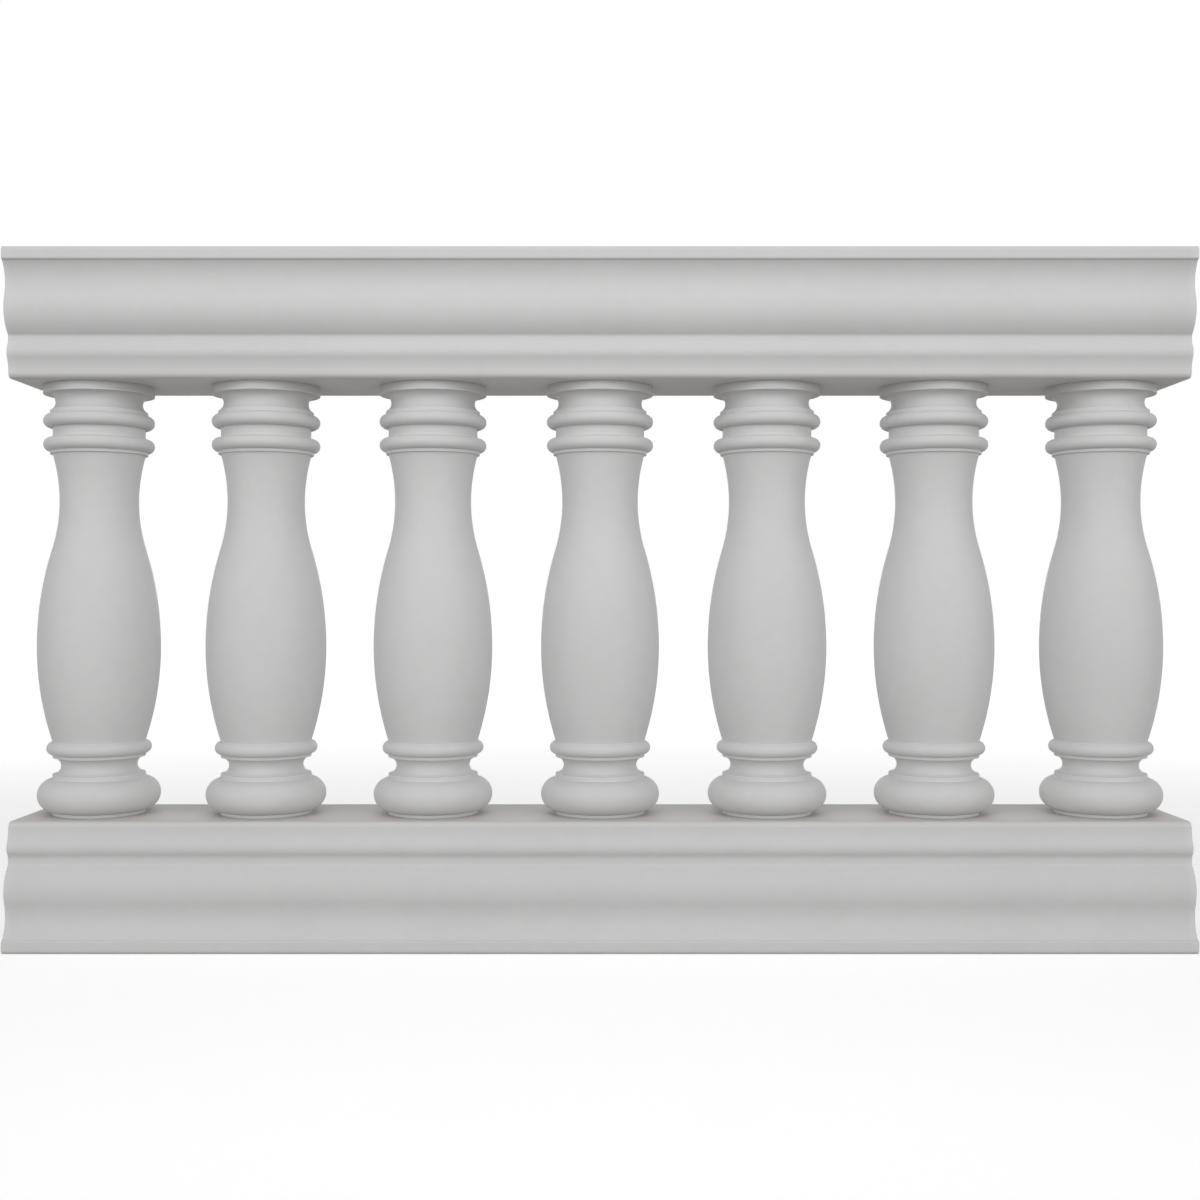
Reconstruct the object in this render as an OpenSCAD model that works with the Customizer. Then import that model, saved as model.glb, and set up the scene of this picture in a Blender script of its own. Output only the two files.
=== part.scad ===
// A straight balustrade section: turned balusters between two moulded rails, each held by a steel pipe.
// Millimetres, +Z up, X along the rails. The origin is the middle of the underside of the bottom rail.

/* [Section] */
// Length of both rails
rail_length = 1219.2; // [1000:0.1:1800]
// Number of balusters
baluster_count = 7; // [3:1:8]
// Distance from each end of the rails to the axis of the last baluster
end_margin = 71.0; // [66:0.5:110]

/* [Rail] */
// Height of each rail
rail_height = 132.0; // [115:0.5:160]
// Width of the rails at the band beside the balusters
rail_band_width = 139.7; // [125:0.1:160]
// Rounding of the edges beside the balusters
arris_radius = 6.0; // [2:0.5:6]
// Height of the band beside the balusters
band_height = 7.5; // [6.5:0.5:14]
// Height of the small hollow over the band
cavetto_height = 12.5; // [8:0.5:16]
// How far the top of the small hollow flares out
cavetto_flare = 2.8; // [1:0.1:4]
// Height from the lower edge of the bead to its crest
bead_rise = 6.8; // [5:0.1:9]
// Height from the crest of the bead to the groove over it
bead_fall = 13.2; // [10:0.1:15]
// How far the crest of the bead stands out from the band
bead_projection = 4.8; // [4.2:0.1:7]
// How far the groove over the bead stands out from the band
groove_projection = 0.4; // [0:0.1:1.5]
// Height of the flat of the groove
groove_height = 2.0; // [1:0.1:4]
// Height of the quirk between the groove and the ovolo
quirk_height = 4.0; // [2:0.1:6]
// How far the lower edge of the ovolo stands out from the band
ovolo_foot_projection = 2.5; // [1.6:0.1:4]
// Height from the lower edge of the ovolo to its crest
ovolo_rise = 25.0; // [18:0.5:28]
// How far the crest of the ovolo stands out from the band
ovolo_projection = 12.7; // [10:0.1:15]
// How far the bottom of the hollow over the ovolo stands out from the band
hollow_projection = 8.2; // [6:0.1:9.5]
// Height from the bottom of the hollow to the lip
hollow_rise = 22.2; // [16:0.1:26]
// How far the top of the hollow flares out from its bottom
hollow_flare = 8.2; // [5:0.1:10]
// How far the lip stands out past the hollow
lip_overhang = 2.7; // [2.5:0.1:8]
// Height of the lip
lip_height = 13.8; // [8:0.1:20]
// Rounding of the inner edge of the lip
lip_radius = 2.5; // [1:0.1:2.5]
// Rounding of the outer edge of the lip
corner_radius = 4.0; // [1:0.1:5]

/* [Baluster] */
// Height of each baluster
baluster_height = 457.2; // [400:0.1:600]
// Radius of the belly
belly_radius = 63.5; // [56:0.1:68]
// Radius of the shaft where it rises from the base bead
belly_foot_radius = 47.8; // [44:0.1:50]
// Height from the foot of the shaft to the widest part of the belly
belly_rise = 101.0; // [80:0.1:120]
// Radius of the neck
neck_radius = 40.6; // [34:0.1:46]
// Height from the narrowest part of the neck to the top of the shaft
throat_rise = 50.0; // [35:0.1:70]
// Radius of the shaft where it meets the cap
throat_radius = 47.5; // [46.2:0.1:49]
// Share of the way from belly to neck where the curve turns from round to hollow
turn_share = 0.67; // [0.4:0.01:0.8]

/* [Baluster base] */
// Radius of the foot and the fillets of the base
base_fillet_radius = 47.8; // [47.2:0.1:52]
// Height of the foot under the base torus
foot_height = 3.2; // [2:0.1:8]
// Radius of the base torus at its widest
base_torus_radius = 63.5; // [58:0.1:68]
// Height of the base torus
base_torus_height = 35.4; // [24:0.1:40]
// Height of the fillet over the base torus
lower_fillet_height = 4.5; // [2:0.1:8]
// Height of the scotia
base_scotia_height = 17.5; // [17.5:0.1:24]
// Depth of the scotia
base_scotia_depth = 8.7; // [5:0.1:8.7]
// Height of the fillet over the scotia
upper_fillet_height = 3.0; // [1.5:0.1:5]
// Radius of the base bead at its widest
base_bead_radius = 54.0; // [51.5:0.1:58]
// Height of the base bead
base_bead_height = 14.0; // [8:0.1:18]

/* [Baluster cap] */
// Height of the fillet under the lower torus
cap_fillet_height = 3.2; // [2:0.1:6]
// Radius of the fillets and the edges of the scotia of the cap
cap_fillet_radius = 50.2; // [49.9:0.1:53]
// Radius of the tori and the disc
cap_radius = 57.15; // [54:0.05:60]
// Height of each torus
cap_torus_height = 14.2; // [10:0.1:18]
// Radius of the plain band between the tori
cap_band_radius = 47.5; // [45:0.1:49.5]
// Height of the plain band between the tori
cap_band_height = 11.0; // [5:0.1:16]
// Height of the fillet over the upper torus
cap_upper_fillet_height = 3.9; // [1.5:0.1:6]
// Height of the scotia under the disc
cap_scotia_height = 17.4; // [12:0.1:24]
// Depth of the scotia under the disc
cap_scotia_depth = 5.5; // [2:0.1:5.9]
// Thickness of the disc
disc_height = 9.2; // [5:0.1:14]

/* [Pipe] */
// Outer radius of the pipe
pipe_radius = 19.05; // [12:0.05:22]
// Wall of the pipe
pipe_wall = 3.0; // [2:0.1:5]
// How far the pipe stands out of each end of its baluster
pipe_projection = 46.5; // [30:0.5:70]
// Chamfer on the ends of the pipe
pipe_chamfer = 0.8; // [0.2:0.1:1.5]
// Gap between the pipe and the bores that it goes through
bore_clearance = 0.3; // [0.1:0.05:0.8]
// Gap between the top of the pipe and the end of its socket
socket_end_gap = 3.0; // [1:0.5:8]

/* [Hidden] */
curve_steps = 8;
shaft_steps = 14;
even_share = 0.5;
round_fn = 96;
cut = 1;

moulding_colour = [0.78, 0.78, 0.78];
steel_colour = [0.62, 0.62, 0.61];

baluster_spacing = (rail_length - 2 * end_margin) / (baluster_count - 1);
top_rail_z = rail_height + baluster_height;
bore_radius = pipe_radius + bore_clearance;
pipe_length = baluster_height + 2 * pipe_projection;
pipe_z = rail_height - pipe_projection;

rail_nodes = ["bottom_rail", "top_rail"];
baluster_nodes = [for (i = [1:baluster_count]) str("baluster_", i)];
pipe_nodes = [for (i = [1:baluster_count]) str("steel_pipe_", i)];

function baluster_x(i) = (i - (baluster_count + 1) / 2) * baluster_spacing;

function reverse(points) = [for (i = [len(points) - 1:-1:0]) points[i]];

// An arc that stands upright at its first point and runs to its second, which may lie to either side.
function bow(upright, end, steps = curve_steps) =
    let (
        run = end - upright,
        radius = (run.x * run.x + run.y * run.y) / (2 * abs(run.x)),
        sweep = atan2(abs(run.y), radius - abs(run.x))
    )
    [for (i = [0:steps]) let (a = sweep * i / steps)
        [
            upright.x + sign(run.x) * radius * (1 - cos(a)),
            upright.y + sign(run.y) * radius * sin(a)
        ]
    ];

// The same arc, run from its slanted end to its upright one.
function bow_to(end, upright, steps = curve_steps) = reverse(bow(upright, end, steps));

// Two arcs that are upright at both ends and meet at the given share of the way.
function ogee(low, high, share, steps = curve_steps) =
    let (turn = low + share * (high - low))
    concat(bow(low, turn, steps), bow_to(turn, high, steps));

// Half a round moulding of the given height, cut off where it meets the radius below and the one above.
function half_round(low_z, height, crest, below, above) =
    let (
        r = height / 2,
        centre = crest - r,
        first = below > centre ? acos((below - centre) / r) : 90,
        last = above > centre ? acos((above - centre) / r) : 90,
        steps = 2 * curve_steps
    )
    [for (i = [0:steps]) let (a = -first + (first + last) * i / steps)
        [centre + r * cos(a), low_z + r + r * sin(a)]
    ];

// A hollow of the given height and depth between two edges of one radius.
function scotia(low_z, height, edge, depth) =
    let (bottom = [edge - depth, low_z + height / 2])
    concat(
        bow_to([edge, low_z], bottom),
        bow(bottom, [edge, low_z + height])
    );

// The front edge of the rail's section, as distance out from the band and height from the balusters.
function rail_edge() =
    let (
        cavetto_z = band_height,
        bead_z = cavetto_z + cavetto_height,
        bead_crest = [bead_projection, bead_z + bead_rise],
        groove = [groove_projection, bead_crest.y + bead_fall],
        quirk = [groove_projection, groove.y + groove_height],
        ovolo_foot = [ovolo_foot_projection, quirk.y + quirk_height],
        ovolo_crest = [ovolo_projection, ovolo_foot.y + ovolo_rise],
        lip_z = rail_height - lip_height,
        hollow = [hollow_projection, lip_z - hollow_rise],
        hollow_end = [hollow_projection + hollow_flare, lip_z],
        lip_face = hollow_end.x + lip_overhang
    )
    concat(
        [for (i = [0:curve_steps]) let (a = 90 * i / curve_steps)
            [arris_radius * (sin(a) - 1), arris_radius * (1 - cos(a))]],
        bow([0, cavetto_z], [cavetto_flare, bead_z]),
        bow_to([cavetto_flare, bead_z], bead_crest),
        ogee(bead_crest, groove, even_share),
        bow(quirk, ovolo_foot),
        bow_to(ovolo_foot, ovolo_crest),
        ogee(ovolo_crest, hollow, even_share),
        bow(hollow, hollow_end),
        rounded_lip(lip_face, lip_z)
    );

// The lip's face between its two rounded edges.
function rounded_lip(face, low_z) =
    concat(
        [for (i = [0:curve_steps]) let (a = 90 * i / curve_steps)
            [face - lip_radius * (1 - sin(a)), low_z + lip_radius * (1 - cos(a))]],
        [for (i = [0:curve_steps]) let (a = 90 * i / curve_steps)
            [face - corner_radius * (1 - cos(a)), rail_height - corner_radius * (1 - sin(a))]]
    );

// Both edges of the rail's section, closed across the two flat faces.
function rail_section() =
    let (edge = rail_edge(), half = rail_band_width / 2)
    concat(
        [for (p = edge) [half + p.x, p.y]],
        [for (p = reverse(edge)) [-half - p.x, p.y]]
    );

// The outline of half a baluster, from the foot to the top of the disc.
function baluster_edge() =
    let (
        torus_z = foot_height,
        lower_fillet_z = torus_z + base_torus_height,
        scotia_z = lower_fillet_z + lower_fillet_height,
        upper_fillet_z = scotia_z + base_scotia_height,
        bead_z = upper_fillet_z + upper_fillet_height,
        shaft_z = bead_z + base_bead_height,
        disc_z = baluster_height - disc_height,
        cap_scotia_z = disc_z - cap_scotia_height,
        upper_torus_z = cap_scotia_z - cap_upper_fillet_height - cap_torus_height,
        lower_torus_z = upper_torus_z - cap_band_height - cap_torus_height,
        shaft_top_z = lower_torus_z - cap_fillet_height,
        belly = [belly_radius, shaft_z + belly_rise],
        neck = [neck_radius, shaft_top_z - throat_rise]
    )
    concat(
        [[base_fillet_radius, 0]],
        half_round(torus_z, base_torus_height, base_torus_radius, base_fillet_radius, base_fillet_radius),
        scotia(scotia_z, base_scotia_height, base_fillet_radius, base_scotia_depth),
        half_round(bead_z, base_bead_height, base_bead_radius, base_fillet_radius, belly_foot_radius),
        bow_to([belly_foot_radius, shaft_z], belly, shaft_steps),
        ogee(belly, neck, turn_share, shaft_steps),
        bow(neck, [throat_radius, shaft_top_z]),
        [[cap_fillet_radius, shaft_top_z]],
        half_round(lower_torus_z, cap_torus_height, cap_radius, cap_fillet_radius, cap_band_radius),
        [[cap_band_radius, lower_torus_z + cap_torus_height], [cap_band_radius, upper_torus_z]],
        half_round(upper_torus_z, cap_torus_height, cap_radius, cap_band_radius, cap_fillet_radius),
        scotia(cap_scotia_z, cap_scotia_height, cap_fillet_radius, cap_scotia_depth),
        [[cap_radius, disc_z], [cap_radius, baluster_height]]
    );

// A rail lying along X, with its wide side up and its sockets open downwards.
module moulded_rail(socket_depth) {
    difference() {
        rotate([90, 0, 90])
            linear_extrude(height = rail_length, center = true)
                polygon(rail_section());
        for (i = [1:baluster_count])
            translate([baluster_x(i), 0, -cut])
                cylinder(h = socket_depth + cut, r = bore_radius, $fn = round_fn);
    }
}

module bottom_rail() {
    color(moulding_colour)
        translate([0, 0, rail_height])
            rotate([180, 0, 0])
                moulded_rail(pipe_projection);
}

module top_rail() {
    color(moulding_colour)
        translate([0, 0, top_rail_z])
            moulded_rail(pipe_projection + socket_end_gap);
}

module baluster(i) {
    color(moulding_colour)
        translate([baluster_x(i), 0, rail_height])
            rotate_extrude($fn = round_fn)
                polygon(concat([[bore_radius, 0]], baluster_edge(), [[bore_radius, baluster_height]]));
}

module steel_pipe(i) {
    inner = pipe_radius - pipe_wall;
    color(steel_colour)
        translate([baluster_x(i), 0, pipe_z])
            rotate_extrude($fn = round_fn)
                polygon([
                    [inner, 0],
                    [pipe_radius - pipe_chamfer, 0],
                    [pipe_radius, pipe_chamfer],
                    [pipe_radius, pipe_length - pipe_chamfer],
                    [pipe_radius - pipe_chamfer, pipe_length],
                    [inner, pipe_length]
                ]);
}

bottom_rail();
top_rail();
for (i = [1:baluster_count]) {
    baluster(i);
    steel_pipe(i);
}
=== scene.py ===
"""A straight balustrade section dressed for its picture: turned balusters between two moulded rails.

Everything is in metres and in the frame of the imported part: X along the rails, Y from front to back, Z up,
with the origin in the middle of the underside of the bottom rail.
"""

import logging
import math
from dataclasses import dataclass, field
from enum import Enum

import bpy
import numpy as np
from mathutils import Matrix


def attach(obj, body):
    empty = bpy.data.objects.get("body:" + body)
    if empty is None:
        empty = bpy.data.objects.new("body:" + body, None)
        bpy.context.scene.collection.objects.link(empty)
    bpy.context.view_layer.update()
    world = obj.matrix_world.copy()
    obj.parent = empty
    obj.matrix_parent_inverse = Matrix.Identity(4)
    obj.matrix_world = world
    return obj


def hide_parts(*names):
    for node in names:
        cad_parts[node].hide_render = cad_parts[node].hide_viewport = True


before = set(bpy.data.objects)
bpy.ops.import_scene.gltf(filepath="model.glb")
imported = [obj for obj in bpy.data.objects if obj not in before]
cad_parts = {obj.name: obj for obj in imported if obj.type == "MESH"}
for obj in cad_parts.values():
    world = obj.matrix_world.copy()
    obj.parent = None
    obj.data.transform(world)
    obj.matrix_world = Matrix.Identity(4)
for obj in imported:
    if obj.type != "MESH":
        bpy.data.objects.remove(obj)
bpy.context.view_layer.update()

log = logging.getLogger("balustrade")

Array = np.ndarray
Node = bpy.types.Node
Socket = bpy.types.NodeSocket

# The one body of the part, which every piece rides on.
BODY = "root"
MM = 0.001
# Points closer than this are one point, and a vector is never divided by a length below the least one.
WELD = 1e-6
LEAST = 1e-30
WHITE = (1.0, 1.0, 1.0, 1.0)

# Radius of the bores and of the rails' sockets: that of the pipe, and 0.3 mm to spare.
BORE_RADIUS = 19.35 * MM

# Chords in an arc of a moulding, and in each arc of a baluster's shaft.
ARC_STEPS = 20
SHAFT_STEPS = 60
# How far each way a corner is spread when it is softened, and how many steps of the walk that reach takes.
CORNER_REACH = 0.9 * MM
WALK_STEPS = 6
# The longest chord of a thinned outline: how far it may turn if it is short, and run if it is straight.
TURN_STEP = math.radians(9.0)
LENGTH_STEP = 12.0 * MM


class RailSide(Enum):
    """Which rail of the section a moulded rail is."""

    BOTTOM = "bottom_rail"
    TOP = "top_rail"


# Outlines: strokes in a plane, worked out as whole arrays.


def bow(upright: Array, end: Array, steps: int = ARC_STEPS) -> Array:
    """An arc that stands upright at its first point and runs to its second, which may lie to either side.

    The radius is the squared distance between the points over twice the run across. The arc turns through the
    angle whose tangent is the run upwards over the radius less the run across.

    Args:
        upright: The point, across and up, where the arc runs straight up or down.
        end: The slanted end of the arc.
        steps: The number of chords.

    Returns:
        The points of the arc, one row each.
    """
    run = end - upright
    across, rise = np.abs(run)
    radius = (across**2 + rise**2) / (2 * across)
    turn = np.linspace(0.0, math.atan2(rise, radius - across), steps + 1)
    return upright + np.column_stack(
        [np.sign(run[0]) * radius * (1 - np.cos(turn)), np.sign(run[1]) * radius * np.sin(turn)]
    )


def bow_to(end: Array, upright: Array, steps: int = ARC_STEPS) -> Array:
    """The same arc as bow, run from its slanted end to its upright one."""
    return bow(upright, end, steps)[::-1]


def ogee(low: Array, high: Array, share: float, steps: int = ARC_STEPS) -> Array:
    """Two arcs, upright at both ends, that meet at the given share of the straight way between them."""
    turn = low + share * (high - low)
    return np.vstack([bow(low, turn, steps), bow_to(turn, high, steps)])


def half_round(low_z: float, height: float, crest: float, below: float, above: float) -> Array:
    """A round moulding: half a circle as high as the moulding, cut off at the radius below and the one above.

    Args:
        low_z: Height of the lower edge.
        height: Height of the moulding, twice the radius of the circle.
        crest: Distance of the crest from the axis.
        below: Distance from the axis at which the curve starts.
        above: Distance from the axis at which it stops.

    Returns:
        The points of the curve from the bottom up.
    """
    radius = height / 2
    centre = crest - radius
    first, last = (
        math.acos((cut - centre) / radius) if cut > centre else math.pi / 2 for cut in (below, above)
    )
    turn = np.linspace(-first, last, 2 * ARC_STEPS + 1)
    return np.column_stack([centre + radius * np.cos(turn), low_z + radius + radius * np.sin(turn)])


def scotia(low_z: float, height: float, edge: float, depth: float) -> Array:
    """A hollow of the given height and depth between two edges at one distance from the axis."""
    bottom = np.array([edge - depth, low_z + height / 2])
    return np.vstack(
        [bow_to(np.array([edge, low_z]), bottom), bow(bottom, np.array([edge, low_z + height]))]
    )


def quarter(centre: tuple[float, float], radius: float, start: float, stop: float) -> Array:
    """A plain arc about a centre, from one angle in degrees to another."""
    turn = np.radians(np.linspace(start, stop, ARC_STEPS + 1))
    return np.column_stack([centre[0] + radius * np.cos(turn), centre[1] + radius * np.sin(turn)])


def chain(*strokes: Array) -> Array:
    """Joins strokes end to end and leaves out points that fall on the one before.

    Args:
        strokes: The strokes in order, each of one point or more.

    Returns:
        The line, one point a row.
    """
    line = np.vstack([np.atleast_2d(stroke) for stroke in strokes])
    step = np.linalg.norm(np.diff(line, axis=0), axis=1)
    return line[np.concatenate([[True], step > WELD])]


def travel(line: Array) -> Array:
    """How far along a line each of its points lies."""
    return np.concatenate([[0.0], np.cumsum(np.linalg.norm(np.diff(line, axis=0), axis=1))])


def along(line: Array, measure: Array, marks: Array) -> Array:
    """The points of a line at given marks of a measure that grows along it."""
    return np.column_stack([np.interp(marks, measure, line[:, k]) for k in range(line.shape[1])])


def soften(line: Array, reach: float, closed: bool) -> Array:
    """Rounds the corners of an outline.

    The outline is walked in even steps, a few to each reach. Every point then moves to the weighted mean of
    the walk up to one reach each way, with weights of one plus the cosine of pi times the share of the reach.
    So a straight run stays where it is, and a corner becomes a smooth turn about one reach long.

    Args:
        line: The outline, one point a row.
        reach: How far each way a corner is spread.
        closed: Whether the last point joins the first.

    Returns:
        The softened outline in even steps, without a repeated last point if it is closed.
    """
    loop = np.vstack([line, line[:1]]) if closed else line
    length = travel(loop)
    steps = int(round(length[-1] / (reach / WALK_STEPS)))
    walk = along(loop, length, np.linspace(0.0, length[-1], steps + 1))
    if closed:
        walk = walk[:-1]
        before, after = walk[-WALK_STEPS:], walk[:WALK_STEPS]
    else:
        before = 2 * walk[0] - walk[WALK_STEPS:0:-1]
        after = 2 * walk[-1] - walk[-2 : -WALK_STEPS - 2 : -1]
    padded = np.vstack([before, walk, after])
    weights = 1 + np.cos(np.pi * np.arange(-WALK_STEPS, WALK_STEPS + 1) / WALK_STEPS)
    weights /= weights.sum()
    return np.column_stack([np.convolve(padded[:, k], weights, "valid") for k in (0, 1)])


def spread(line: Array, closed: bool) -> Array:
    """Thins an outline to points that lie close where it turns and far apart where it runs straight.

    Each chord costs its length over the length step, plus half of the turn at each of its ends over the turn
    step. The points kept lie at even marks of the summed cost.

    Args:
        line: A finely stepped outline.
        closed: Whether the last point joins the first.

    Returns:
        The thinned outline, without a repeated last point if it is closed.
    """
    loop = np.vstack([line, line[:1]]) if closed else line
    run = np.diff(loop, axis=0)
    heading = np.unwrap(np.arctan2(run[:, 1], run[:, 0]))
    turn = np.abs(np.diff(heading)) / 2
    cost = np.linalg.norm(run, axis=1) / LENGTH_STEP
    cost[1:] += turn / TURN_STEP
    cost[:-1] += turn / TURN_STEP
    measure = np.concatenate([[0.0], np.cumsum(cost)])
    count = int(math.ceil(measure[-1]))
    kept = along(loop, measure, np.linspace(0.0, measure[-1], count + 1))
    return kept[:-1] if closed else kept


def edge_normals(line: Array) -> Array:
    """Unit normals of an open outline: the mean direction of the chords beside each point, turned a quarter.

    Args:
        line: The outline, one point a row.

    Returns:
        A normal for each point, to the right of the outline's run.
    """
    run = np.diff(line, axis=0)
    run /= np.linalg.norm(run, axis=1)[:, None]
    mean = np.vstack([run[:1], run[:-1] + run[1:], run[-1:]])
    mean /= np.linalg.norm(mean, axis=1)[:, None]
    return np.column_stack([mean[:, 1], -mean[:, 0]])


# Meshes: patches of quads, welded.


def grid_of(x: float | Array, y: float | Array, z: float | Array) -> Array:
    """Points from arrays or numbers for X, Y and Z, each stretched to the shape that they have together."""
    return np.stack(np.broadcast_arrays(x, y, z), axis=-1)


class Patchwork:
    """Patches of quads on grids of points, gathered and welded into one closed mesh."""

    def __init__(self) -> None:
        """Starts with no patch."""
        self.points: list[Array] = []
        self.quads: list[Array] = []
        self.count = 0

    def add(
        self, grid: Array, flip: bool = False, wrap_rows: bool = False, wrap_cols: bool = False
    ) -> None:
        """Adds a patch.

        The face of a patch points along the cross product of its row direction and its column direction.

        Args:
            grid: Points in an array of rows by columns by three.
            flip: Whether the patch faces the other way.
            wrap_rows: Whether the last row joins the first.
            wrap_cols: Whether the last column joins the first.
        """
        rows, cols = grid.shape[:2]
        index = self.count + np.arange(rows * cols).reshape(rows, cols)
        if wrap_rows:
            index = np.vstack([index, index[:1]])
        if wrap_cols:
            index = np.hstack([index, index[:, :1]])
        corners = [index[:-1, :-1], index[1:, :-1], index[1:, 1:], index[:-1, 1:]]
        quads = np.stack(corners, axis=-1).reshape(-1, 4)
        self.quads.append(quads[:, ::-1] if flip else quads)
        self.points.append(grid.reshape(-1, 3))
        self.count += rows * cols

    def turn_over(self, height: float) -> None:
        """Turns every patch half round about X and lifts it by the height."""
        self.points = [points * (1.0, -1.0, -1.0) + (0.0, 0.0, height) for points in self.points]

    def welded(self) -> tuple[Array, Array, Array]:
        """Joins the patches into one set of points and faces.

        Points within a micrometre become one. A quad with two corners on one point becomes a triangle, and
        one with fewer than three corners left is dropped.

        Returns:
            The points, the four corners of each face, and which of its corners each face keeps.
        """
        points = np.vstack(self.points)
        rounded = np.round(points / WELD).astype(np.int64)
        _, first, index = np.unique(rounded, axis=0, return_index=True, return_inverse=True)
        quads = index.reshape(-1)[np.vstack(self.quads)]
        kept = quads != np.roll(quads, -1, axis=1)
        whole = kept.sum(axis=1) > 2
        return points[first], quads[whole], kept[whole]

    def mesh(self, name: str, move: Array) -> bpy.types.Mesh:
        """Welds the patches and makes a smooth mesh of them.

        Args:
            name: Name of the mesh.
            move: How far the whole shape is moved.

        Returns:
            The mesh, with the attributes that the finishes read.
        """
        points, quads, kept = self.welded()
        points = points + move
        loops = quads[kept]
        starts = np.concatenate([[0], np.cumsum(kept.sum(axis=1))[:-1]])
        mesh = bpy.data.meshes.new(name)
        mesh.vertices.add(len(points))
        mesh.vertices.foreach_set("co", points.astype(np.float32).ravel())
        mesh.loops.add(len(loops))
        mesh.loops.foreach_set("vertex_index", loops.astype(np.int32))
        mesh.polygons.add(len(quads))
        mesh.polygons.foreach_set("loop_start", starts.astype(np.int32))
        mesh.polygons.foreach_set("use_smooth", np.ones(len(quads), bool))
        mesh.update(calc_edges=True)
        if mesh.validate():
            log.warning("%s had faults that Blender mended", name)

        normals = point_normals(points, quads)
        mesh.normals_split_custom_set_from_vertices(normals.tolist())
        hollow, ridge = bends(points, quads, normals)
        mark(mesh, "hollow", hollow)
        mark(mesh, "ridge", ridge)
        return mesh


def mark(mesh: bpy.types.Mesh, name: str, values: Array) -> None:
    """Writes one number for each point of a mesh, for the finishes to read by name."""
    mesh.attributes.new(name, "FLOAT", "POINT").data.foreach_set("value", values.astype(np.float32))


def point_normals(points: Array, quads: Array) -> Array:
    """Unit normals of the points of a mesh.

    The area vector of a face is half the cross product of its diagonals. A point's normal is the sum of those
    of the faces round it, so large flats stay flat beside their rounded edges.

    Args:
        points: The points of the mesh.
        quads: The corners of its faces.

    Returns:
        The normals, one row each.
    """
    corners = [points[quads[:, k]] for k in range(4)]
    area = np.cross(corners[2] - corners[0], corners[3] - corners[1]) / 2
    total = np.zeros_like(points)
    for k in range(4):
        np.add.at(total, quads[:, k], area)
    return total / np.maximum(np.linalg.norm(total, axis=1), LEAST)[:, None]


def bends(points: Array, quads: Array, normals: Array) -> tuple[Array, Array]:
    """How strongly the surface bends inwards and outwards at each point, from 0 to 1.

    Along an edge the bend is the change of the normal, taken along the edge, over the squared length of the
    edge. A point takes the strongest bend of its edges each way, as a share of the bend of a softened corner.

    Args:
        points: The points of the mesh.
        quads: The corners of its faces.
        normals: The unit normals of its points.

    Returns:
        The hollow and the ridge of every point.
    """
    start, end = quads.reshape(-1), np.roll(quads, -1, axis=1).reshape(-1)
    run = points[end] - points[start]
    squared = np.einsum("ij,ij->i", run, run)
    real = squared > WELD**2
    start, end, run, squared = start[real], end[real], run[real], squared[real]
    bend = np.einsum("ij,ij->i", normals[end] - normals[start], run) / squared * CORNER_REACH
    hollow, ridge = np.zeros(len(points)), np.zeros(len(points))
    for side in (start, end):
        np.maximum.at(hollow, side, -bend)
        np.maximum.at(ridge, side, bend)
    return np.clip(hollow, 0.0, 1.0), np.clip(ridge, 0.0, 1.0)


# Objects.


def put(name: str, data: bpy.types.ID) -> bpy.types.Object:
    """Makes an object of a mesh, a lamp or a camera, and puts it into the scene.

    Args:
        name: Name of the object.
        data: What it shows.

    Returns:
        The object, at the origin and unturned.
    """
    made = bpy.data.objects.new(name, data)
    bpy.context.scene.collection.objects.link(made)
    return made


def place(mesh: bpy.types.Mesh, material: bpy.types.Material, slot: str, *nodes: str) -> None:
    """Makes a piece of a mesh, under its name. It rides on the body and stands for its CAD nodes.

    Args:
        mesh: Its mesh, with its place in it.
        material: Its finish.
        slot: Not used.
        nodes: The CAD nodes that it stands for.
    """
    mesh.materials.append(material)
    piece = put(mesh.name, mesh)
    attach(piece, BODY)
    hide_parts(*nodes)
    log.info("%s: %d points, %d faces", piece.name, len(mesh.vertices), len(mesh.polygons))


# Finishes: node trees.


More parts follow.
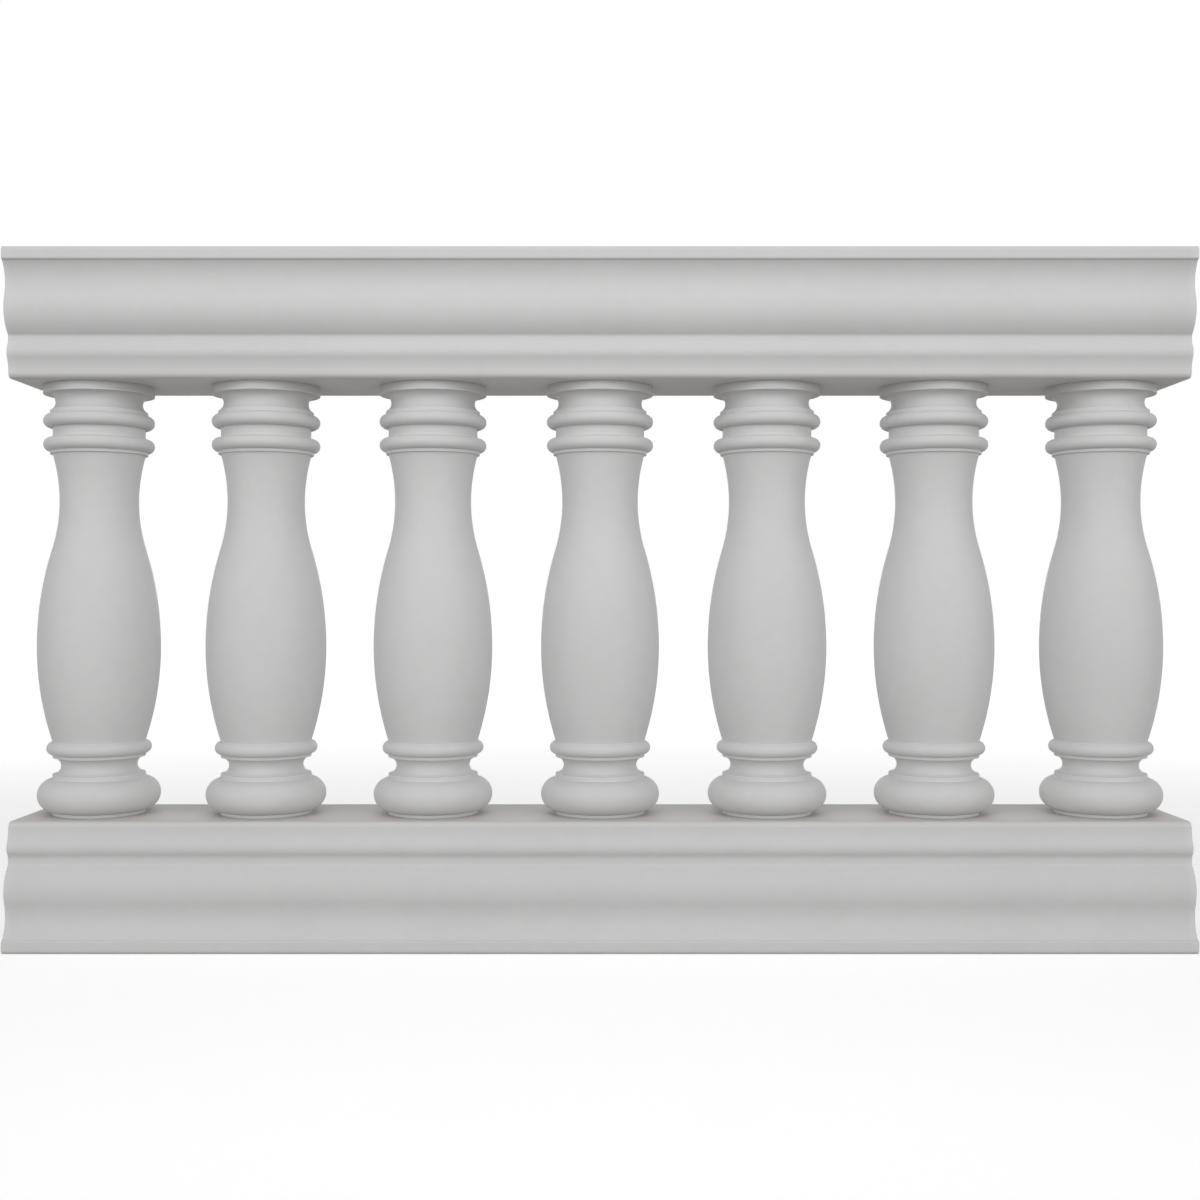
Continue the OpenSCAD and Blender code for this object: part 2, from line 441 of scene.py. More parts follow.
class NodeDesk:
    """Lays nodes out in one tree and wires them."""

    def __init__(self, tree: bpy.types.NodeTree) -> None:
        """Starts on an emptied tree."""
        self.tree = tree
        tree.nodes.clear()

    def add(self, kind: str, **values: object) -> Node:
        """Adds a node and sets its properties, or its inputs where a name is that of no property.

        Args:
            kind: Blender's name of the node type, without its prefix.
            values: Names of properties or inputs, with underscores for spaces, and what each is set to.

        Returns:
            The node.
        """
        node = self.tree.nodes.new("ShaderNode" + kind)
        inputs = {}
        for key, value in values.items():
            if hasattr(node, key):
                setattr(node, key, value)
            else:
                inputs[key.replace("_", " ")] = value
        for key, value in inputs.items():
            self.feed(next(socket for socket in node.inputs if socket.name == key and socket.enabled), value)
        return node

    def feed(self, socket: Socket, value: object) -> None:
        """Wires a socket to another, or sets its value.

        Args:
            socket: The socket.
            value: Another socket, or a plain value.
        """
        if isinstance(value, Socket):
            self.tree.links.new(value, socket)
        else:
            socket.default_value = value

    def fill(self, node: Node, *values: object) -> Socket:
        """Feeds the inputs of a node in their order.

        Args:
            node: The node.
            values: Sockets or plain values, one for each input from the first on.

        Returns:
            The first output of the node.
        """
        for socket, value in zip(node.inputs, values):
            self.feed(socket, value)
        return node.outputs[0]

    def maths(self, operation: str, *values: object) -> Socket:
        """The result of a Math node on up to three values."""
        return self.fill(self.add("Math", operation=operation), *values)

    def remap(self, value: object, low: float, high: float, start: float = 0.0, stop: float = 1.0) -> Socket:
        """A value moved from the range low to high onto start to stop, with soft ends, and held within it."""
        node = self.add("MapRange", interpolation_type="SMOOTHSTEP", clamp=True)
        return self.fill(node, value, low, high, start, stop)

    def blend(self, factor: object, first: object, second: object) -> Socket:
        """A colour between two, by a factor that gives the share of the second."""
        node = self.add("Mix", data_type="RGBA", Factor=factor, A=first, B=second)
        return next(socket for socket in node.outputs if socket.type == "RGBA")

    def noise(self, vector: object, scale: object, detail: float, roughness: float) -> Socket:
        """Noise from 0 to 1 round a half, with finer layers on it as the detail and the roughness say."""
        return self.add("TexNoise", Vector=vector, Scale=scale, Detail=detail, Roughness=roughness).outputs[0]

    def attribute(self, name: str) -> Socket:
        """A number that the mesh holds for each of its points."""
        return self.add("Attribute", attribute_name=name).outputs["Fac"]

    def seen_or_lit(self, seen: Socket, lit: Socket) -> Socket:
        """Parts what a surface shows from the light that it gives the object.

        Args:
            seen: The shader for the camera, for a reflection and through clear glass.
            lit: The shader for every other ray.

        Returns:
            The mixed shader.
        """
        path = self.add("LightPath")
        bent = self.maths("MAXIMUM", path.outputs["Is Glossy Ray"], path.outputs["Is Transmission Ray"])
        looking = self.maths("MAXIMUM", path.outputs["Is Camera Ray"], bent)
        return self.fill(self.add("MixShader"), looking, lit, seen)

    def show(self, shader: Socket, output: str = "OutputMaterial") -> None:
        """Wires a shader to the output of the tree."""
        self.add(output, Surface=shader)

    def skin(self, height: Socket, depth: float, **values: object) -> None:
        """Ends a material in a Principled shader with the given inputs and a bump of the given depth."""
        bump = self.add("Bump", Height=height, Distance=depth).outputs[0]
        self.show(self.add("BsdfPrincipled", Normal=bump, **values).outputs[0])


def new_material(name: str) -> tuple[bpy.types.Material, NodeDesk]:
    """Starts a material.

    Args:
        name: Its name.

    Returns:
        The material and the desk of its tree.
    """
    made = bpy.data.materials.new(name)
    made.use_nodes = True
    return made, NodeDesk(made.node_tree)


@dataclass
class EffectShelf:
    """The effects that more than one finish uses, each a node group built once."""

    cloud_fine_share: float = 0.33
    cloud_broad_share: float = 0.67
    cloud_range: tuple[float, float] = (0.36, 0.64)
    pinhole_edge: float = 0.6
    groups: dict[str, bpy.types.NodeTree] = field(default_factory=dict)

    def new_group(
        self, name: str, inputs: dict[str, float], output: str
    ) -> tuple[NodeDesk, bpy.types.bpy_prop_collection, Socket]:
        """Starts a group with a Vector input, number inputs and one number output.

        Args:
            name: Name of the group.
            inputs: Names and first values of the number inputs.
            output: Name of the output.

        Returns:
            The desk of the group, what the group is given, and the socket of its result.
        """
        tree = bpy.data.node_groups.new(name, "ShaderNodeTree")
        tree.interface.new_socket("Vector", in_out="INPUT", socket_type="NodeSocketVector")
        for key, value in inputs.items():
            socket = tree.interface.new_socket(key, in_out="INPUT", socket_type="NodeSocketFloat")
            socket.default_value = value
        tree.interface.new_socket(output, in_out="OUTPUT", socket_type="NodeSocketFloat")
        self.groups[name] = tree
        desk = NodeDesk(tree)
        given = tree.nodes.new("NodeGroupInput").outputs
        return desk, given, tree.nodes.new("NodeGroupOutput").inputs[output]

    def build(self) -> None:
        """Builds every group."""
        self.build_cloud()
        self.build_grain()
        self.build_pinholes()

    def build_cloud(self) -> None:
        """Soft patches of light and dark round a half: a broad noise and a finer one at half its weight."""
        desk, given, mask = self.new_group("cloud", {"Scale": 10.0, "Fine Scale": 60.0}, "Mask")
        broad = desk.noise(given["Vector"], given["Scale"], detail=3.0, roughness=0.55)
        fine = desk.noise(given["Vector"], given["Fine Scale"], detail=2.0, roughness=0.5)
        weighed = desk.maths("MULTIPLY", broad, self.cloud_broad_share)
        mean = desk.maths("MULTIPLY_ADD", fine, self.cloud_fine_share, weighed)
        desk.feed(mask, desk.remap(mean, *self.cloud_range))

    def build_grain(self) -> None:
        """The skin of a sprayed coat, as a height: rounded dimples, and a dry fine tooth on them."""
        scales = {"Dimple Scale": 450.0, "Tooth Scale": 1800.0, "Tooth Share": 0.3}
        desk, given, height = self.new_group("grain", scales, "Height")
        dimple = desk.noise(given["Vector"], given["Dimple Scale"], detail=1.0, roughness=0.4)
        tooth = desk.noise(given["Vector"], given["Tooth Scale"], detail=2.0, roughness=0.6)
        desk.feed(height, desk.maths("MULTIPLY_ADD", tooth, given["Tooth Share"], dimple))

    def build_pinholes(self) -> None:
        """Pinholes in a cast skin: the middles of the few cells of a pattern whose own number is high."""
        scales = {"Scale": 90.0, "Radius": 0.05, "Share": 0.1}
        desk, given, mask = self.new_group("pinholes", scales, "Mask")
        cells = desk.add("TexVoronoi", feature="F1", Vector=given["Vector"], Scale=given["Scale"])
        away = desk.maths("DIVIDE", cells.outputs["Distance"], given["Radius"])
        near = desk.remap(desk.maths("SUBTRACT", 1.0, away), 0.0, self.pinhole_edge)
        number = desk.add("SeparateColor", Color=cells.outputs["Color"]).outputs[0]
        chosen = desk.maths("GREATER_THAN", number, desk.maths("SUBTRACT", 1.0, given["Share"]))
        desk.feed(mask, desk.maths("MULTIPLY", near, chosen))

    def use(self, desk: NodeDesk, name: str, vector: Socket, *values: float) -> Socket:
        """Places a group in a material.

        Args:
            desk: The desk of the material.
            name: Name of the group.
            vector: The coordinates that it reads.
            values: The values of its number inputs in their order.

        Returns:
            The output of the group.
        """
        node = desk.tree.nodes.new("ShaderNodeGroup")
        node.node_tree = self.groups[name]
        return desk.fill(node, vector, *values)


def grey(level: float, warmth: float = 0.0) -> tuple[float, float, float, float]:
    """A neutral colour of a linear level, with red raised and blue lowered by the warmth."""
    return (level * (1 + warmth), level, level * (1 - warmth), 1.0)


@dataclass(frozen=True)
class PrimedFinish:
    """The factory primer on the mouldings: matt light grey and slightly uneven. Its creases are painted paler
    than the coat, which is painted light that lifts the shade falling in them.
    """

    name: str
    level: float = 0.6
    unevenness: float = 0.018
    # Painted light: the paler grey that the creases are painted, to lift the shade that falls in them.
    crease_painted_light_level: float = 0.62
    crease_range: tuple[float, float] = (0.05, 0.9)
    crease_share: tuple[float, float] = (0.65, 1.0)
    ridge_level: float = 0.625
    ridge_range: tuple[float, float] = (0.25, 1.0)
    rub_range: tuple[float, float] = (0.2, 0.9)
    rub_share: tuple[float, float] = (1.0, 0.3)
    joint_level: float = 0.59
    joint_warmth: float = 0.03
    cloud_scale: float = 9.0
    fine_scale: float = 70.0
    dimple_scale: float = 420.0
    tooth_scale: float = 1700.0
    tooth_share: float = 0.3
    dimple_depth: float = 0.03 * MM
    pinhole_scale: float = 55.0
    pinhole_radius: float = 0.03
    pinhole_share: float = 0.10
    pinhole_tint: float = 0.5
    pinhole_level: float = 0.50
    roughness: tuple[float, float] = (0.58, 0.66)
    specular: float = 0.3

    def material(self, shelf: EffectShelf) -> bpy.types.Material:
        """Builds the finish.

        Args:
            shelf: The effects that it uses.

        Returns:
            The material.
        """
        made, desk = new_material(self.name)
        spot = desk.add("TexCoord").outputs["Object"]
        cloud = shelf.use(desk, "cloud", spot, self.cloud_scale, self.fine_scale)
        dark, light = (grey(self.level * (1 + side * self.unevenness)) for side in (-1, 1))
        coat = desk.blend(cloud, dark, light)

        # Painted light: the creases are painted paler than the coat, in patches, to lift the shade that falls
        # in them.
        crease = desk.remap(desk.attribute("hollow"), *self.crease_range)
        painted_crease_light = desk.maths("MULTIPLY", crease, desk.remap(cloud, 0.0, 1.0, *self.crease_share))
        coat = desk.blend(painted_crease_light, coat, grey(self.crease_painted_light_level))
        edge = desk.remap(desk.attribute("ridge"), *self.ridge_range)
        rubbed = desk.maths("MULTIPLY", edge, desk.remap(cloud, *self.rub_range, *self.rub_share))
        coat = desk.blend(rubbed, coat, grey(self.ridge_level))
        coat = desk.blend(desk.attribute("joint"), coat, grey(self.joint_level, self.joint_warmth))

        holes = shelf.use(desk, "pinholes", spot, self.pinhole_scale, self.pinhole_radius, self.pinhole_share)
        coat = desk.blend(desk.maths("MULTIPLY", holes, self.pinhole_tint), coat, grey(self.pinhole_level))

        skin = shelf.use(desk, "grain", spot, self.dimple_scale, self.tooth_scale, self.tooth_share)
        height = desk.maths("SUBTRACT", skin, holes)
        rough = desk.remap(cloud, 0.0, 1.0, *self.roughness)
        inputs = {"Base_Color": coat, "Roughness": rough, "Specular_IOR_Level": self.specular}
        desk.skin(height, self.dimple_depth, **inputs)
        return made


@dataclass(frozen=True)
class DrawnTubeFinish:
    """Dull drawn steel tube: fine lines along its length and a cloudy oxide bloom."""

    name: str
    level: float = 0.32
    bloom_level: float = 0.25
    warmth: float = 0.01
    cloud_scale: float = 24.0
    fine_scale: float = 160.0
    dimple_scale: float = 900.0
    tooth_scale: float = 3000.0
    tooth_share: float = 0.4
    line_scale: float = 900.0
    line_stretch: float = 0.012
    line_level: float = 0.2
    line_range: tuple[float, float] = (0.35, 0.7)
    line_share: float = 0.35
    skin_share: float = 0.3
    bump_depth: float = 0.012 * MM
    roughness: tuple[float, float] = (0.60, 0.50)
    rough_line_range: tuple[float, float] = (0.3, 0.7)
    rough_line_share: float = 0.08

    def material(self, shelf: EffectShelf) -> bpy.types.Material:
        """Builds the finish.

        Args:
            shelf: The effects that it uses.

        Returns:
            The material.
        """
        made, desk = new_material(self.name)
        spot = desk.add("TexCoord").outputs["Object"]
        drawn = desk.add("Mapping", Vector=spot, Scale=(1.0, 1.0, self.line_stretch)).outputs[0]
        lines = desk.noise(drawn, self.line_scale, detail=3.0, roughness=0.6)
        cloud = shelf.use(desk, "cloud", spot, self.cloud_scale, self.fine_scale)
        levels = (self.bloom_level, self.level, self.line_level)
        bloom, bright, line = (grey(level, self.warmth) for level in levels)
        metal = desk.blend(cloud, bloom, bright)
        metal = desk.blend(desk.remap(lines, *self.line_range, 0.0, self.line_share), metal, line)

        skin = shelf.use(desk, "grain", spot, self.dimple_scale, self.tooth_scale, self.tooth_share)
        height = desk.maths("MULTIPLY_ADD", skin, self.skin_share, lines)
        clouded = desk.remap(cloud, 0.0, 1.0, *self.roughness)
        scored = desk.remap(lines, *self.rough_line_range, 0.0, self.rough_line_share)
        rough = desk.maths("ADD", clouded, scored)
        desk.skin(height, self.bump_depth, Base_Color=metal, Roughness=rough, Metallic=1.0)
        return made


# Sub-assemblies.


@dataclass
class RailMoulding:
    """The section of both rails: half its width at the band, and its mouldings from the balusters out."""

    height: float = 132.0 * MM
    half_band: float = 69.85 * MM
    arris_radius: float = 6.0 * MM
    band_height: float = 7.5 * MM
    cavetto_flare: float = 2.8 * MM
    cavetto_height: float = 12.5 * MM
    bead_rise: float = 6.8 * MM
    bead_fall: float = 13.2 * MM
    bead_projection: float = 4.8 * MM
    groove_projection: float = 0.4 * MM
    groove_height: float = 2.0 * MM
    quirk_height: float = 4.0 * MM
    ovolo_foot: float = 2.5 * MM
    ovolo_rise: float = 25.0 * MM
    ovolo_projection: float = 12.7 * MM
    hollow_projection: float = 8.2 * MM
    hollow_rise: float = 22.2 * MM
    hollow_flare: float = 8.2 * MM
    lip_overhang: float = 2.7 * MM
    lip_height: float = 13.8 * MM
    lip_radius: float = 2.5 * MM
    corner_radius: float = 4.0 * MM
    flat_run: float = 3.0 * MM
    turn_share: float = 0.5

    def edge(self) -> Array:
        """The outer edge of the section: a chain of arcs that share their ends, softened and thinned.

        Returns:
            Points of distance from the middle of the rail and height from the balusters.
        """
        bead_z = self.band_height + self.cavetto_height
        bead_foot = np.array([self.cavetto_flare, bead_z])
        bead = np.array([self.bead_projection, bead_z + self.bead_rise])
        groove = np.array([self.groove_projection, bead[1] + self.bead_fall])
        quirk = groove + (0.0, self.groove_height)
        foot = np.array([self.ovolo_foot, quirk[1] + self.quirk_height])
        ovolo = np.array([self.ovolo_projection, foot[1] + self.ovolo_rise])
        lip_z = self.height - self.lip_height
        hollow = np.array([self.hollow_projection, lip_z - self.hollow_rise])
        hollow_end = np.array([self.hollow_projection + self.hollow_flare, lip_z])
        face = hollow_end[0] + self.lip_overhang
        arris, lip, corner = self.arris_radius, self.lip_radius, self.corner_radius
        line = chain(
            np.array([-arris - self.flat_run, 0.0]),
            quarter((-arris, arris), arris, -90, 0),
            bow(np.array([0.0, self.band_height]), bead_foot),
            bow_to(bead_foot, bead),
            ogee(bead, groove, self.turn_share),
            bow(quirk, foot),
            bow_to(foot, ovolo),
            ogee(ovolo, hollow, self.turn_share),
            bow(hollow, hollow_end),
            quarter((face - lip, lip_z + lip), lip, -90, 0),
            quarter((face - corner, self.height - corner), corner, 0, 90),
            np.array([face - corner - self.flat_run, self.height]),
        )
        return spread(soften(line, CORNER_REACH, closed=False), closed=False) + (self.half_band, 0.0)


@dataclass
class MouldedRail:
    """One rail: its section carried along X, with rounded end arrises and a blind socket for each pipe."""

    side: RailSide
    moulding: RailMoulding
    length: float
    centres: Array
    underside: float
    socket_depth: float
    socket_radius: float = BORE_RADIUS
    socket_rim: float = 0.5 * MM
    joint_reach: float = 0.05 * MM
    end_round: float = 0.8 * MM
    rim_steps: int = 4
    end_steps: int = 5
    cell_steps: int = 14
    across_steps: int = 12

    def across(self, edge: Array) -> Array:
        """Points straight across the rail, front to back, with a row for each point of the edge."""
        share = np.linspace(-1.0, 1.0, self.across_steps + 1)
        return np.stack(np.broadcast_arrays(edge[:, :1] * share, edge[:, 1:]), axis=-1)

    def section_loop(self, edge: Array) -> Array:
        """Goes once round the section.

        Args:
            edge: The back edge of the section, from the balusters outwards.

        Returns:
            Points up the front edge, back across the lip side, down the back edge and forward again.
        """
        flats = self.across(edge[[0, -1]])
        front = edge * (-1.0, 1.0)
        return np.vstack([front, flats[1, 1:-1], edge[::-1], flats[0, -2:0:-1]])

    def stations(self) -> list[Array]:
        """The places along X where the rail is divided.

        Returns:
            One array for the cell of each socket. Neighbours share their ends.
        """
        half = self.length / 2 - self.end_round
        middles = (self.centres[:-1] + self.centres[1:]) / 2
        bounds = np.concatenate([[-half], middles, [half]])
        return [np.linspace(a, b, self.cell_steps + 1) for a, b in zip(bounds[:-1], bounds[1:])]

    def socket_cell(self, x: Array, y: Array, centre: float) -> Array:
        """The flat round one socket and the socket itself.

        Rings run from the rectangle of the cell to the rim of the socket along straight rays, over the rim on
        a quarter circle, up the wall and in to the middle of the end.

        Args:
            x: Stations along the cell.
            y: Stations across it.
            centre: The axis of the socket along X.

        Returns:
            Rings of points, one row each.
        """
        long, wide = len(x) - 1, len(y) - 1
        frame_x = np.concatenate([x[:-1], np.full(wide, x[-1]), x[:0:-1], np.full(wide, x[0])])
        frame_y = np.concatenate([np.full(long, y[0]), y[:-1], np.full(long, y[-1]), y[:0:-1]])
        turn = np.arctan2(frame_y, frame_x - centre)
        bend = np.linspace(0.0, np.pi / 2, self.rim_steps + 1)
        rim = self.socket_radius + self.socket_rim * (1 - np.sin(bend))
        radii = np.concatenate([rim, [self.socket_radius, 0.0]])[:, None]
        rise = self.socket_rim * (1 - np.cos(bend))
        heights = np.concatenate([rise, [self.socket_depth, self.socket_depth]])[:, None]
        border = grid_of(frame_x, frame_y, 0.0)[None]
        return np.vstack([border, grid_of(centre + radii * np.cos(turn), radii * np.sin(turn), heights)])

    def patches(self) -> Patchwork:
        """The whole rail with its wide side up.

        Returns:
            Its skins, the flat of its lip, the cells of its sockets, and its ends.
        """
        edge = self.moulding.edge()
        flats = self.across(edge[[0, -1]])
        cells = self.stations()
        x = np.concatenate([cells[0]] + [cell[1:] for cell in cells[1:]])
        work = Patchwork()
        for sign in (-1.0, 1.0):
            work.add(grid_of(x, sign * edge[:, :1], edge[:, 1:]), flip=sign < 0)
        work.add(grid_of(x, flats[1, ::-1, :1], flats[1, ::-1, 1:]))
        for cell, centre in zip(cells, self.centres):
            work.add(self.socket_cell(cell, flats[0, :, 0], centre), wrap_cols=True)
        self.add_ends(work, edge)
        return work

    def add_ends(self, work: Patchwork, edge: Array) -> None:
        """Adds the rounded arris and the flat face of both ends.

        The arris is a quarter circle. As it turns, the section draws in by the radius times one less the
        cosine of the turn, and its place along X goes out by the radius times the sine.

        Args:
            work: The patches of the rail.
            edge: The back edge of its section.
        """
        inward = edge_normals(edge) * -1.0
        bend = np.linspace(0.0, np.pi / 2, self.end_steps + 1)
        for sign in (-1.0, 1.0):
            rings = []
            for a in bend:
                loop = self.section_loop(edge + inward * self.end_round * (1 - math.cos(a)))
                out = sign * (self.length / 2 - self.end_round * (1 - math.sin(a)))
                rings.append(grid_of(out, loop[:, 0], loop[:, 1]))
            work.add(np.stack(rings, axis=1), flip=sign > 0, wrap_rows=True)
            face = self.across(edge + inward * self.end_round)
            work.add(grid_of(sign * self.length / 2, face[..., 0], face[..., 1]), flip=sign > 0)

    def build(self, primer: bpy.types.Material) -> None:
        """Makes the rail, turns it over if it is the bottom one, and dresses it.

        Args:
            primer: Its finish.
        """
        work = self.patches()
        joint_z = self.underside
        if self.side is RailSide.BOTTOM:
            work.turn_over(self.moulding.height)
            joint_z += self.moulding.height
        name = self.side.value
        mesh = work.mesh(name + "_dressed", np.array([0.0, 0.0, self.underside]))
        points = np.empty((len(mesh.vertices), 3), np.float32)
        mesh.vertices.foreach_get("co", points.ravel())
        mark(mesh, "joint", np.abs(points[:, 2] - joint_z) < self.joint_reach)
        place(mesh, primer, "moulding", name)


@dataclass
class BalusterTurning:
    """The outline of every baluster, from the foot up."""

    height: float = 457.2 * MM
    bore_radius: float = BORE_RADIUS
    belly_radius: float = 63.5 * MM
    belly_foot_radius: float = 47.8 * MM
    belly_rise: float = 101.0 * MM
    neck_radius: float = 40.6 * MM
    throat_rise: float = 50.0 * MM
    throat_radius: float = 47.5 * MM
    turn_share: float = 0.67
    base_fillet_radius: float = 47.8 * MM
    foot_height: float = 3.2 * MM
    base_torus_radius: float = 63.5 * MM
    base_torus_height: float = 35.4 * MM
    lower_fillet_height: float = 4.5 * MM
    base_scotia_height: float = 17.5 * MM
    base_scotia_depth: float = 8.7 * MM
    upper_fillet_height: float = 3.0 * MM
    base_bead_radius: float = 54.0 * MM
    base_bead_height: float = 14.0 * MM
    cap_fillet_height: float = 3.2 * MM
    cap_fillet_radius: float = 50.2 * MM
    cap_radius: float = 57.15 * MM
    cap_torus_height: float = 14.2 * MM
    cap_band_radius: float = 47.5 * MM
    cap_band_height: float = 11.0 * MM
    cap_upper_fillet_height: float = 3.9 * MM
    cap_scotia_height: float = 17.4 * MM
    cap_scotia_depth: float = 5.5 * MM
    disc_height: float = 9.2 * MM

    def outline(self) -> Array:
        """The closed outline of one half, bore included: a chain of arcs, softened and thinned.

        Returns:
            Points of distance from the axis and height above the foot.
        """
        fillet = self.base_fillet_radius
        scotia_z = self.foot_height + self.base_torus_height + self.lower_fillet_height
        bead_z = scotia_z + self.base_scotia_height + self.upper_fillet_height
        shaft_z = bead_z + self.base_bead_height
        belly = np.array([self.belly_radius, shaft_z + self.belly_rise])

        cap, band, cap_fillet = self.cap_radius, self.cap_band_radius, self.cap_fillet_radius
        torus = self.cap_torus_height
        disc_z = self.height - self.disc_height
        cap_scotia_z = disc_z - self.cap_scotia_height
        upper_torus_z = cap_scotia_z - self.cap_upper_fillet_height - torus
        band_z = upper_torus_z - self.cap_band_height
        lower_torus_z = band_z - torus
        shaft_top_z = lower_torus_z - self.cap_fillet_height
        neck = np.array([self.neck_radius, shaft_top_z - self.throat_rise])
        line = chain(
            np.array([[self.bore_radius, 0.0], [fillet, 0.0]]),
            half_round(self.foot_height, self.base_torus_height, self.base_torus_radius, fillet, fillet),
            scotia(scotia_z, self.base_scotia_height, fillet, self.base_scotia_depth),
            half_round(bead_z, self.base_bead_height, self.base_bead_radius, fillet, self.belly_foot_radius),
            bow_to(np.array([self.belly_foot_radius, shaft_z]), belly, SHAFT_STEPS),
            ogee(belly, neck, self.turn_share, SHAFT_STEPS),
            bow(neck, np.array([self.throat_radius, shaft_top_z]), SHAFT_STEPS),
            np.array([cap_fillet, shaft_top_z]),
            half_round(lower_torus_z, torus, cap, cap_fillet, band),
            np.array([[band, band_z], [band, upper_torus_z]]),
            half_round(upper_torus_z, torus, cap, band, cap_fillet),
            scotia(cap_scotia_z, self.cap_scotia_height, cap_fillet, self.cap_scotia_depth),
            np.array([[cap, disc_z], [cap, self.height], [self.bore_radius, self.height]]),
        )
        return spread(soften(line, CORNER_REACH, closed=True), closed=True)


@dataclass
class BalusterRow:
    """The row of balusters, each one the same turned outline carried round its own axis."""

    turning: BalusterTurning
    centres: Array
    foot_z: float
    segments: int = 96

    def patches(self) -> Patchwork:
        """One baluster about the Z axis: its radius times the cosine and the sine of the turn, at its height.

        Returns:
            One patch, closed both ways.
        """
        outline = self.turning.outline()
        turn = np.arange(self.segments) * (2 * np.pi / self.segments)
        radius, height = outline[:, :1], outline[:, 1:]
        work = Patchwork()
        skin = grid_of(radius * np.cos(turn), radius * np.sin(turn), height)
        work.add(skin, flip=True, wrap_rows=True, wrap_cols=True)
        return work

    def build(self, primer: bpy.types.Material) -> None:
        """Makes and dresses every baluster, from left to right.

        Args:
            primer: Their finish.
        """
        work = self.patches()
        for number, x in enumerate(self.centres, start=1):
            name = f"baluster_{number}"
            mesh = work.mesh(name + "_dressed", np.array([x, 0.0, self.foot_z]))
            place(mesh, primer, "moulding", name)


@dataclass
class PipeCores:
    """The steel pipes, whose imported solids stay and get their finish."""

    count: int

    def build(self, steel: bpy.types.Material) -> None:
        """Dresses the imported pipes.

        Args:
            steel: Their finish.
        """
        for number in range(1, self.count + 1):
            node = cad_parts[f"steel_pipe_{number}"]
            node.data.materials.clear()
            node.data.materials.append(steel)
            log.info("%s: %d faces", node.name, len(node.data.polygons))


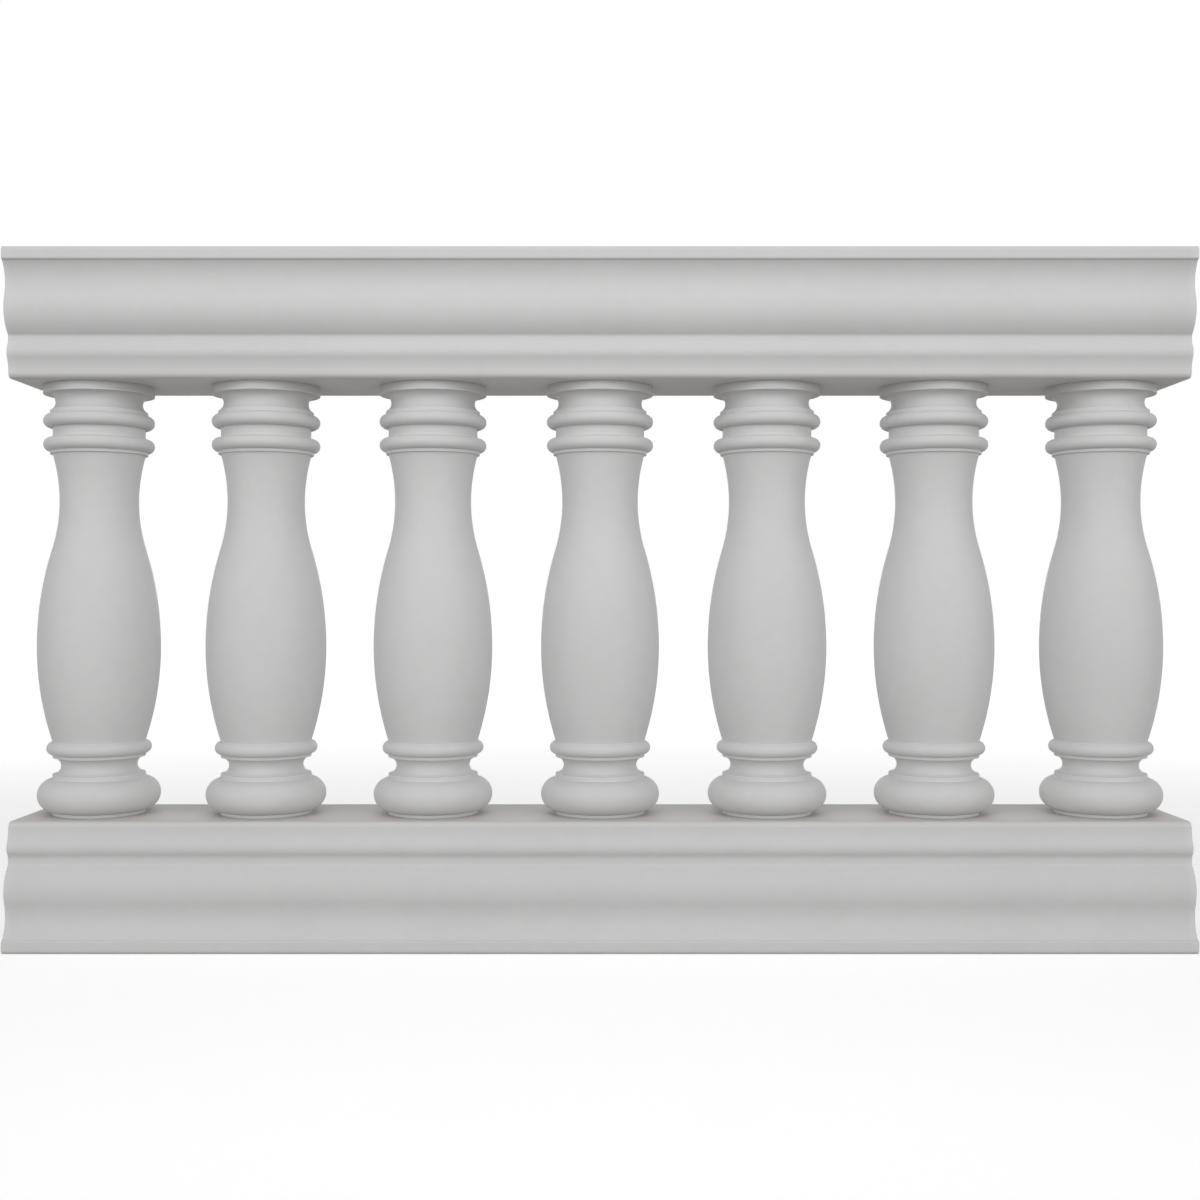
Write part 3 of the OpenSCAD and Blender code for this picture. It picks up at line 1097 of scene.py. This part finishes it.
@dataclass
class Studio:
    """The camera, the soft light and the pale floor. Angles are in degrees."""

    camera_distance: float = 1.604
    camera_height: float = 0.3606
    lens: float = 44.7
    sensor_width: float = 36.0
    sky_level: float = 0.38
    side_strength: float = 1.05
    side_turn: float = 44.0
    side_elevation: float = 8.0
    side_spread: float = 35.0
    back_strength: float = 1.4
    back_elevation: float = 4.0
    back_spread: float = 40.0
    top_power: float = 5.0
    top_size: tuple[float, float] = (1.9, 0.6)
    top_distance: float = 1.3
    top_elevation: float = 38.0
    top_aim: float = 0.5
    floor_size: float = 60.0
    floor_bounce: float = 0.50
    bounce_warmth: float = 0.02
    floor_white: float = 1.0
    near_glow: float = 0.33
    far_glow: float = 0.52
    glow_reach: tuple[float, float] = (0.8, 3.0)

    def build(self) -> None:
        """Builds the studio."""
        self.build_camera()
        self.build_sky()
        self.build_lamps()
        self.build_floor()
        bpy.context.scene.view_settings.view_transform = "Standard"

    def build_camera(self) -> None:
        """Puts a level camera in front of the middle of the section, looking along Y."""
        data = bpy.data.cameras.new("camera")
        data.lens = self.lens
        data.sensor_width = self.sensor_width
        camera = put("camera", data)
        camera.location = (0.0, -self.camera_distance, self.camera_height)
        camera.rotation_euler = (math.radians(90.0), 0.0, 0.0)
        bpy.context.scene.camera = camera

    def build_sky(self) -> None:
        """Makes an even sky, which is white to the camera and greyer as a light."""
        world = bpy.data.worlds.new("sky")
        world.use_nodes = True
        bpy.context.scene.world = world
        desk = NodeDesk(world.node_tree)
        level = desk.add("Background", Color=WHITE, Strength=self.sky_level).outputs[0]
        white = desk.add("Background", Color=WHITE, Strength=1.0).outputs[0]
        desk.show(desk.seen_or_lit(white, level), "OutputWorld")

    def build_lamps(self) -> None:
        """Adds broad far lights from both sides and from behind, and a soft lamp above the front."""
        for name, turn in (("left_light", -self.side_turn), ("right_light", self.side_turn)):
            self.add_sun(name, self.side_strength, self.side_elevation, turn, self.side_spread)
        back = self.add_sun("back_light", self.back_strength, self.back_elevation, 180.0, self.back_spread)
        back.visible_glossy = False

        data = bpy.data.lights.new("top_light", "AREA")
        data.shape = "RECTANGLE"
        data.size, data.size_y = self.top_size
        data.energy = self.top_power
        lamp = put("top_light", data)
        raised = math.radians(self.top_elevation)
        forward, up = self.top_distance * math.cos(raised), self.top_distance * math.sin(raised)
        lamp.location = (0.0, -forward, self.top_aim + up)
        lamp.rotation_euler = (math.radians(90.0) - raised, 0.0, 0.0)
        lamp.visible_camera = False

    def add_sun(
        self, name: str, strength: float, elevation: float, turn: float, spread: float
    ) -> bpy.types.Object:
        """Adds a broad far light.

        Args:
            name: Name of the light.
            strength: Its strength.
            elevation: How far it stands above the floor.
            turn: How far it stands round from the front towards the right.
            spread: The angle that it fills.

        Returns:
            The lamp.
        """
        data = bpy.data.lights.new(name, "SUN")
        data.energy = strength
        data.angle = math.radians(spread)
        lamp = put(name, data)
        lamp.rotation_euler = (math.radians(90.0 - elevation), 0.0, math.radians(turn))
        return lamp

    def build_floor(self) -> None:
        """Makes a plain floor, grey to what it lights, and white to the camera but for the shadow on it.

        What the camera sees glows a little, and more far off, between the two distances of the reach.
        """
        made, desk = new_material("floor")
        bounce = desk.add("BsdfDiffuse", Color=grey(self.floor_bounce, self.bounce_warmth)).outputs[0]
        pale = desk.add("BsdfDiffuse", Color=grey(self.floor_white)).outputs[0]
        spot = desk.add("TexCoord").outputs["Object"]
        away = desk.add("VectorMath", operation="LENGTH", Vector=spot).outputs["Value"]
        strength = desk.remap(away, *self.glow_reach, self.near_glow, self.far_glow)
        glow = desk.add("Emission", Color=WHITE, Strength=strength).outputs[0]
        seen = desk.fill(desk.add("AddShader"), pale, glow)
        desk.show(desk.seen_or_lit(seen, bounce))

        half = self.floor_size / 2
        corners = [(-half, -half, 0.0), (half, -half, 0.0), (half, half, 0.0), (-half, half, 0.0)]
        mesh = bpy.data.meshes.new("floor")
        mesh.from_pydata(corners, [], [(0, 1, 2, 3)])
        mesh.materials.append(made)
        put("floor", mesh)


@dataclass
class BalustradeSection:
    """The whole section: two rails, the balusters between them and the pipes through them."""

    baluster_count: int = 7
    rail_length: float = 1219.2 * MM
    end_margin: float = 71.0 * MM
    bottom_socket: float = 46.5 * MM
    top_socket: float = 49.5 * MM
    moulding: RailMoulding = field(default_factory=RailMoulding)
    turning: BalusterTurning = field(default_factory=BalusterTurning)

    def centres(self) -> Array:
        """The axes of the balusters along X, evenly spaced between the two margins."""
        reach = self.rail_length / 2 - self.end_margin
        return np.linspace(-reach, reach, self.baluster_count)

    def build(self, shelf: EffectShelf) -> None:
        """Builds and dresses every piece.

        Args:
            shelf: The effects that the finishes use.
        """
        centres = self.centres()
        foot_z = self.moulding.height
        cap_z = foot_z + self.turning.height
        rail_primer = PrimedFinish("rail_primer").material(shelf)
        for side, underside, depth in (
            (RailSide.BOTTOM, 0.0, self.bottom_socket),
            (RailSide.TOP, cap_z, self.top_socket),
        ):
            rail = MouldedRail(side, self.moulding, self.rail_length, centres, underside, depth)
            rail.build(rail_primer)

        # The balusters' creases are painted paler too, as painted light against the shade in them.
        turned_finish = PrimedFinish("baluster_primer", level=0.625, ridge_level=0.65, crease_painted_light_level=0.66)
        BalusterRow(self.turning, centres, foot_z).build(turned_finish.material(shelf))
        PipeCores(self.baluster_count).build(DrawnTubeFinish("drawn_steel").material(shelf))


def main() -> None:
    """Builds the studio and the section."""
    logging.basicConfig(level=logging.INFO, format="%(name)s: %(message)s")
    shelf = EffectShelf()
    shelf.build()
    Studio().build()
    BalustradeSection().build(shelf)


if __name__ == "__main__":
    main()
